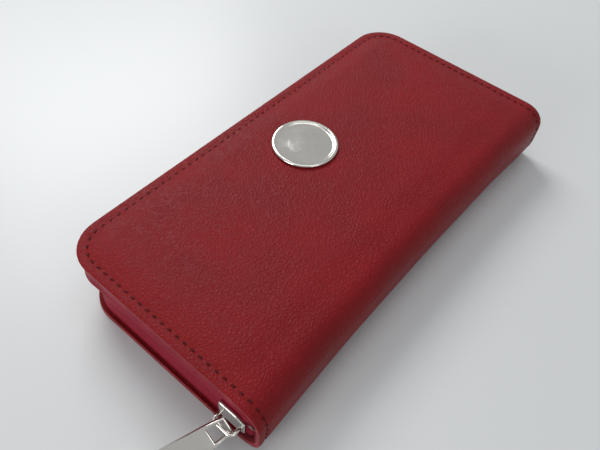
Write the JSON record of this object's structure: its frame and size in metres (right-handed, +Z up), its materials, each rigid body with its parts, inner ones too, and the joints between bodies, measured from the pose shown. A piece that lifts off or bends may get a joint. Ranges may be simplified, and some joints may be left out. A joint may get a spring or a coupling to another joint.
{
  "type": "wristlet wallet",
  "caption": "Zip-around long wallet with a rounded leather spine, card and bill pockets, a zipped coin pocket, a slider with a puller and a round metal badge.",
  "frame": {"origin": "on the resting surface, under the middle of the wallet's length and 1 mm short of the middle of its depth", "axes": "+X along the wallet towards the end with the zip slider, +Y towards the spine, +Z up"},
  "size_m": [0.2332, 0.096, 0.0293],
  "materials": {
    "cover_leather": "pebble grained, semi-matt, dark red",
    "lining_fabric": "woven lining, dark red",
    "pocket_leather": "smooth, semi-matt, red",
    "stiffener": "grey board",
    "foam": "thin foam",
    "zip_tape": "woven tape, red",
    "zip_coil": "nylon coil, red",
    "nickel": "polished nickel plate"
  },
  "bodies": {
    "back_half": {"back_cover": "cover_leather", "spine_cover": "cover_leather", "spine_lining": "lining_fabric", "back_board": "stiffener", "back_lining": "lining_fabric", "back_zip_tape": "zip_tape", "back_zip_coil": "zip_coil", "back_zip_stops": "nickel", "back_bill_panel": "pocket_leather", "back_card_pocket_1": "pocket_leather", "back_card_pocket_2": "pocket_leather", "back_card_pocket_3": "pocket_leather", "back_card_pocket_4": "pocket_leather"},
    "front_half": {"front_cover": "cover_leather", "front_board": "stiffener", "front_lining": "lining_fabric", "front_foam": "foam", "front_zip_tape": "zip_tape", "front_zip_coil": "zip_coil", "front_zip_stops": "nickel", "badge": "nickel", "badge_washer": "nickel", "front_bill_panel": "pocket_leather", "front_card_pocket_1": "pocket_leather", "front_card_pocket_2": "pocket_leather", "front_card_pocket_3": "pocket_leather", "front_card_pocket_4": "pocket_leather"},
    "coin_pocket": {"coin_pocket_back_wall": "pocket_leather", "coin_pocket_front_wall": "pocket_leather", "coin_pocket_sides": "pocket_leather", "coin_pocket_strip": "lining_fabric", "coin_zip_tapes": "zip_tape", "coin_zip_coils": "zip_coil"},
    "zip_slider": {"zip_slider": "nickel", "zip_slider_bail": "nickel"},
    "zip_puller": {"zip_puller": "nickel"},
    "coin_zip_slider": {"coin_zip_slider": "nickel", "coin_zip_bail": "nickel"},
    "coin_zip_puller": {"coin_zip_puller": "nickel"}
  },
  "joints": [
    {"name": "front_half_hinge", "type": "hinge", "parent": "back_half", "child": "front_half", "pos_m": [0, 0.0485, 0.0135], "axis": [-1, 0, 0], "range_deg": [0, 170], "deforming": ["spine_cover", "spine_lining"]},
    {"name": "coin_pocket_hinge", "type": "hinge", "parent": "back_half", "child": "coin_pocket", "pos_m": [0, 0.0485, 0.0135], "axis": [-1, 0, 0], "range_deg": [0, 85]},
    {"name": "zip_slide", "type": "slide", "parent": "back_half", "child": "zip_slider", "axis": [0, -1, 0], "range_m": [0, 0.06]},
    {"name": "puller_swing", "type": "hinge", "parent": "zip_slider", "child": "zip_puller", "pos_m": [0.1024, 0.0375, 0.0135], "axis": [-0.3256, -0.9455, 0], "range_deg": [-24, 95]},
    {"name": "coin_zip_slide", "type": "slide", "parent": "coin_pocket", "child": "coin_zip_slider", "axis": [-1, 0, 0], "range_m": [0, 0.14]},
    {"name": "coin_puller_swing", "type": "hinge", "parent": "coin_zip_slider", "child": "coin_zip_puller", "pos_m": [0.068, -0.0382, 0.0135], "axis": [0, 0, 1], "range_deg": [0, 165]}
  ],
  "couplings": [
    {"joint": "coin_pocket_hinge", "follows": "front_half_hinge", "ratio": 0.5}
  ]
}
